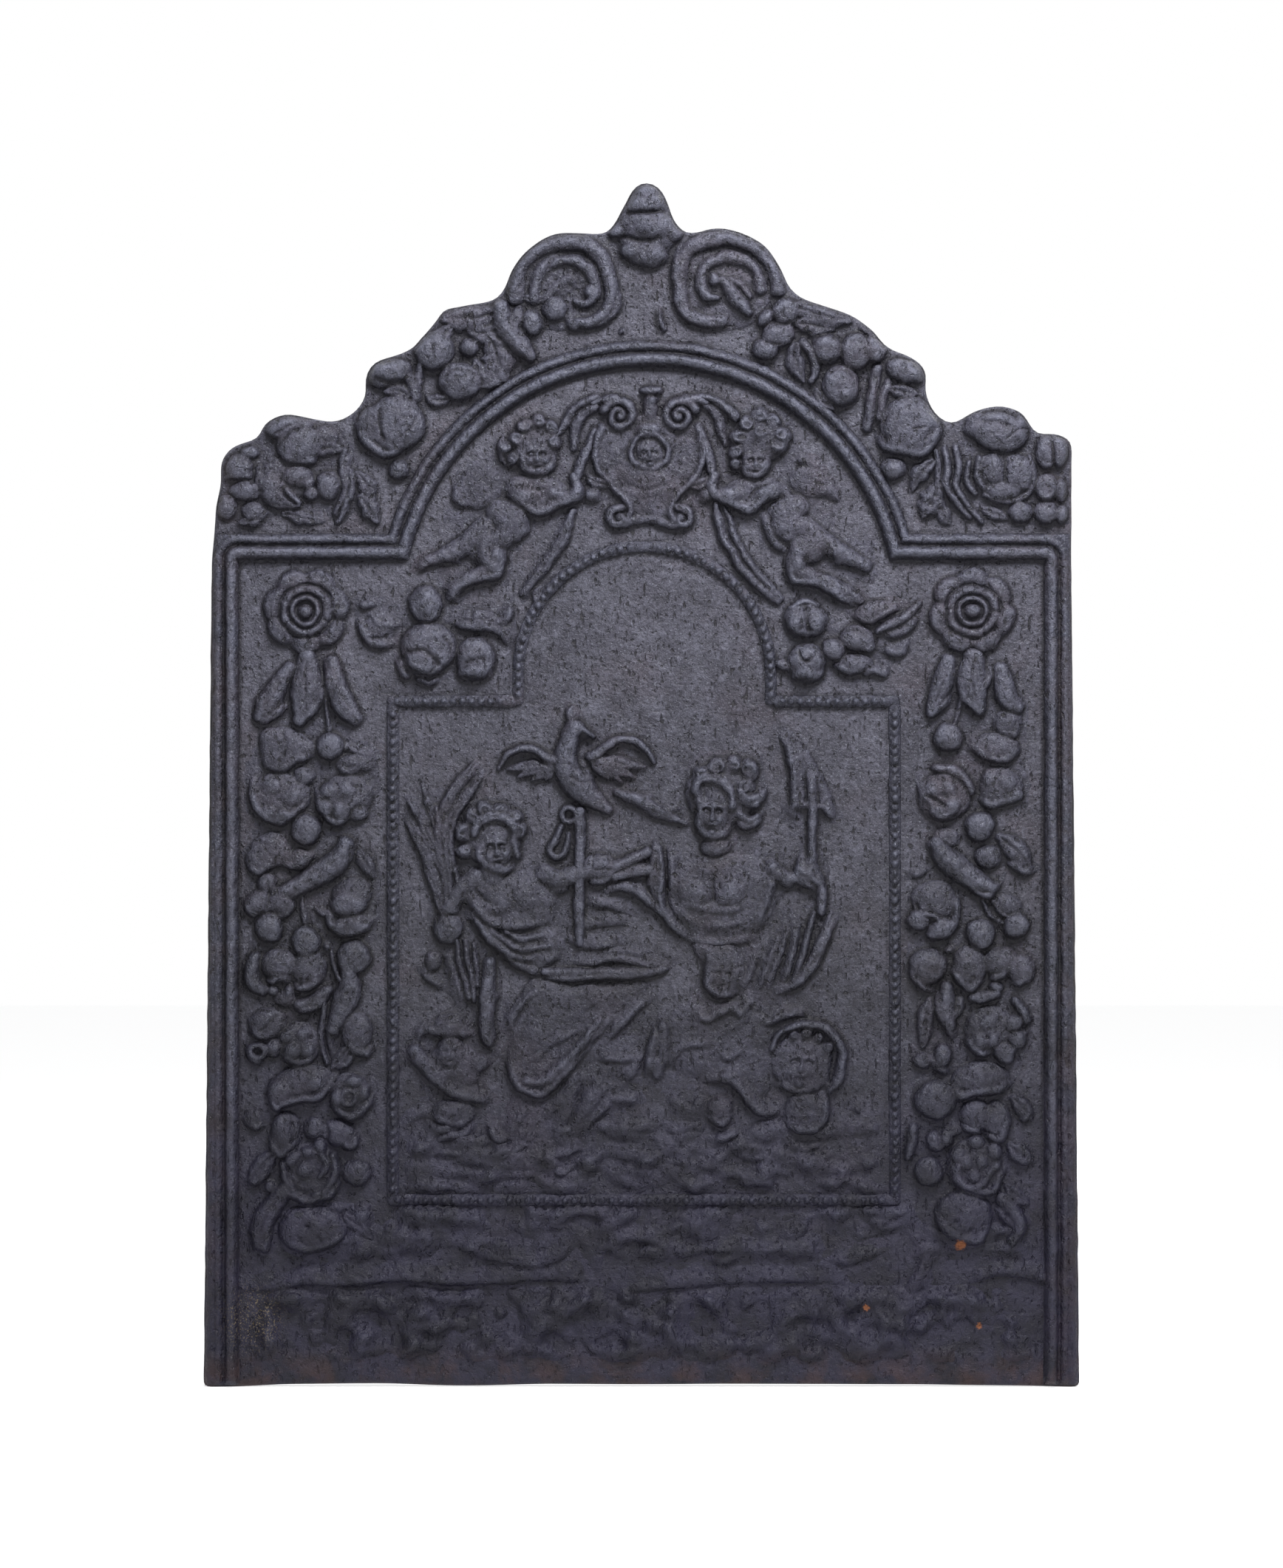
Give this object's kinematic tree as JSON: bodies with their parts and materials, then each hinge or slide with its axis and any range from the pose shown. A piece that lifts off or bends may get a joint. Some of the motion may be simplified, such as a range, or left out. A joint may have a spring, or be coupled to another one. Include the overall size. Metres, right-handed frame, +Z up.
{
  "type": "fireback",
  "caption": "Arched cast-iron plate with a moulded frame and relief ornament that stands at the back of a hearth and throws heat forward.",
  "frame": {"origin": "middle of the plate's foot, halfway through its thickness", "axes": "+X to the right as seen from the front, the decorated front faces -Y, +Z up"},
  "size_m": [0.594, 0.029, 0.8165],
  "materials": {
    "plate_iron": "sand-cast ground, blackened, rusty towards the foot",
    "frame_iron": "blackened casting with worn edges",
    "relief_iron": "blackened casting, worn lighter on the high points"
  },
  "bodies": {
    "root": {"back_plate": "plate_iron", "left_stile_moulding": "frame_iron", "right_stile_moulding": "frame_iron", "arch_moulding_right": "frame_iron", "arch_moulding_crown": "frame_iron", "arch_moulding_left": "frame_iron", "left_shoulder_moulding": "frame_iron", "right_shoulder_moulding": "frame_iron", "foot_ledge": "frame_iron", "left_bead_border": "frame_iron", "right_bead_border": "frame_iron", "bottom_bead_border": "frame_iron", "left_bead_arch": "frame_iron", "right_bead_arch": "frame_iron", "left_bead_shoulder": "frame_iron", "right_bead_shoulder": "frame_iron", "crest_finial": "relief_iron", "crest_volute_left": "relief_iron", "crest_volute_right": "relief_iron", "crest_fruit_left": "relief_iron", "crest_fruit_right": "relief_iron", "crest_garland_left": "relief_iron", "crest_garland_right": "relief_iron", "corner_spray_left": "relief_iron", "corner_spray_right": "relief_iron", "cartouche": "relief_iron", "cherub_left": "relief_iron", "cherub_right": "relief_iron", "ribbon_left": "relief_iron", "ribbon_right": "relief_iron", "ribbon_tail_left": "relief_iron", "ribbon_tail_right": "relief_iron", "rosette_left": "relief_iron", "rosette_right": "relief_iron", "swag_left": "relief_iron", "swag_right": "relief_iron", "drop_upper_left": "relief_iron", "drop_middle_left": "relief_iron", "drop_lower_left": "relief_iron", "drop_foot_left": "relief_iron", "drop_upper_right": "relief_iron", "drop_middle_right": "relief_iron", "drop_lower_right": "relief_iron", "drop_foot_right": "relief_iron", "left_figure_head": "relief_iron", "right_figure_head": "relief_iron", "bird": "relief_iron", "clasped_hands": "relief_iron", "staff": "relief_iron", "spear": "relief_iron", "palm_fronds": "relief_iron", "left_figure_bodice": "relief_iron", "right_figure_bodice": "relief_iron", "sash": "relief_iron", "left_child": "relief_iron", "right_child": "relief_iron", "left_figure_skirt": "relief_iron", "right_figure_skirt": "relief_iron", "ground": "relief_iron"}
  },
  "joints": []
}
